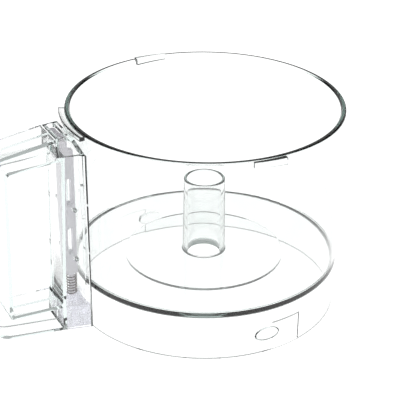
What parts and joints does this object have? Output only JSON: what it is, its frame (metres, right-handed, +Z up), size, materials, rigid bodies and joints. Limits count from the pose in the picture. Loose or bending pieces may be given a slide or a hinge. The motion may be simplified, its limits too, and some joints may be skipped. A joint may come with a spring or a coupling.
{
  "type": "food processor work bowl",
  "caption": "Clear cylindrical work bowl with centre drive tube, rim lugs, bayonet skirt, open rectangular handle and a spring-loaded activating rod.",
  "frame": {"origin": "on the bowl's axis, in the plane of the skirt's bottom edge", "axes": "+Z up along the bowl's axis, towards the rim; the handle points along -X; Y is across the handle"},
  "size_m": [0.2795, 0.2084, 0.1546],
  "materials": {
    "clear_bowl": "clear gloss",
    "clear_handle": "clear gloss",
    "clear_cap": "clear gloss",
    "lilac_rod": "satin",
    "lilac_block": "satin",
    "spring_steel": "drawn wire",
    "clear_pin": "clear gloss"
  },
  "bodies": {
    "bowl": {"work_bowl": "clear_bowl", "handle_frame": "clear_handle", "column_cap": "clear_cap", "rod_retainer": "lilac_block", "guide_pin_upper": "clear_pin", "guide_pin_lower": "clear_pin", "return_spring": "spring_steel"},
    "rod": {"activating_rod": "lilac_rod"}
  },
  "joints": [
    {"name": "rod_press", "type": "slide", "parent": "bowl", "child": "rod", "axis": [0, 0, -1], "range_m": [0, 0.007], "stiffness_N_per_m": 250, "springref_m": -0.006, "deforming": ["return_spring"]}
  ]
}
